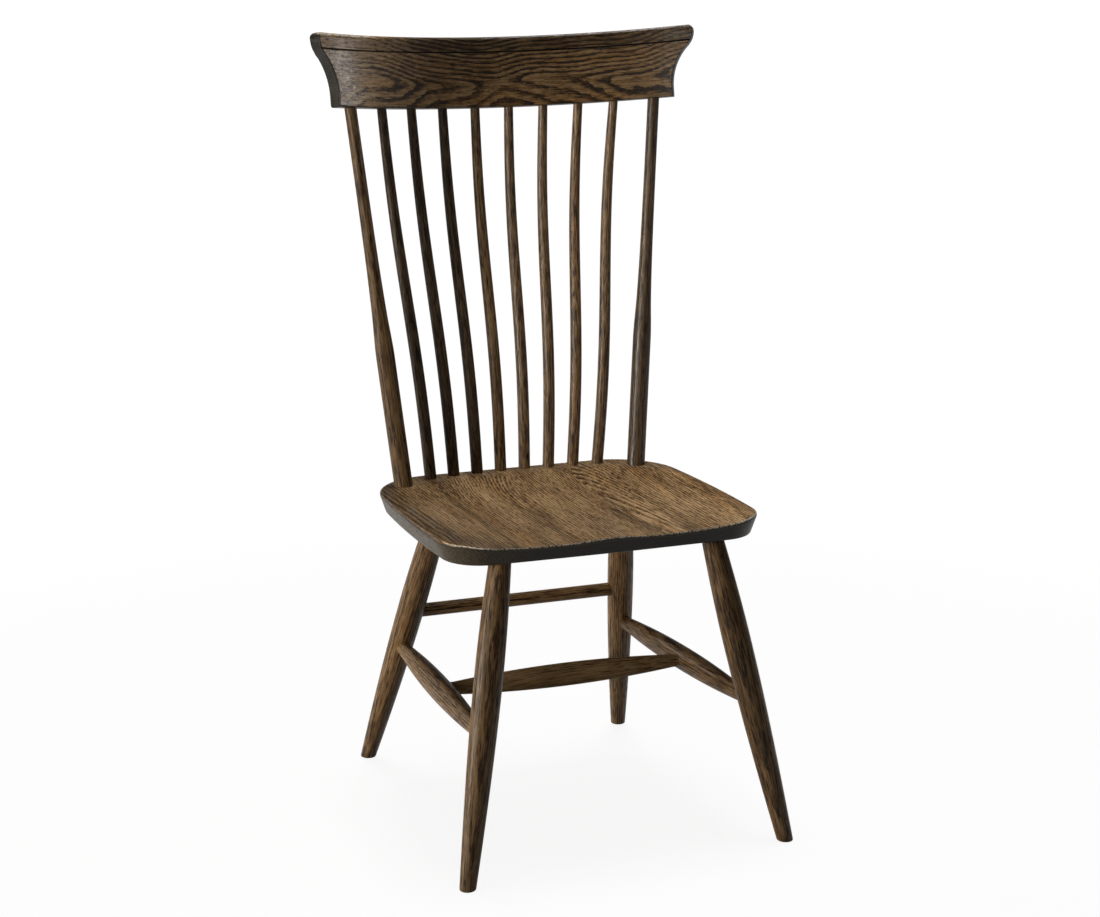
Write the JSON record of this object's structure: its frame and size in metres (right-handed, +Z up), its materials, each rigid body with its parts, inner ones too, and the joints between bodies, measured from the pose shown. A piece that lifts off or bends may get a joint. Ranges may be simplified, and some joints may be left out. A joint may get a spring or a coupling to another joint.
{
  "type": "side chair",
  "caption": "Dark oak side chair with a saddled seat, splayed turned legs, stretchers and a tall spindle back under a bent crest rail with flared ends.",
  "frame": {"origin": "on the floor, in the middle of the chair's outer box", "axes": "+Z up; the sitter faces -Y; +X is to the right as seen from the front"},
  "size_m": [0.592, 0.5785, 1.1044],
  "materials": {
    "crest_oak": "dark stained open-grain oak, satin",
    "seat_oak": "dark stained open-grain oak, satin",
    "turned_oak": "dark stained open-grain oak, satin"
  },
  "bodies": {
    "root": {"crest_rail": "crest_oak", "left_back_post": "turned_oak", "right_back_post": "turned_oak", "back_spindle_1": "turned_oak", "back_spindle_2": "turned_oak", "back_spindle_3": "turned_oak", "back_spindle_4": "turned_oak", "back_spindle_5": "turned_oak", "back_spindle_6": "turned_oak", "back_spindle_7": "turned_oak", "back_spindle_8": "turned_oak", "seat_board_1": "seat_oak", "seat_board_2": "seat_oak", "seat_board_3": "seat_oak", "seat_board_4": "seat_oak", "seat_board_5": "seat_oak", "front_left_leg": "turned_oak", "front_right_leg": "turned_oak", "rear_left_leg": "turned_oak", "rear_right_leg": "turned_oak", "left_side_stretcher": "turned_oak", "right_side_stretcher": "turned_oak", "centre_stretcher": "turned_oak", "rear_stretcher": "turned_oak"}
  },
  "joints": []
}
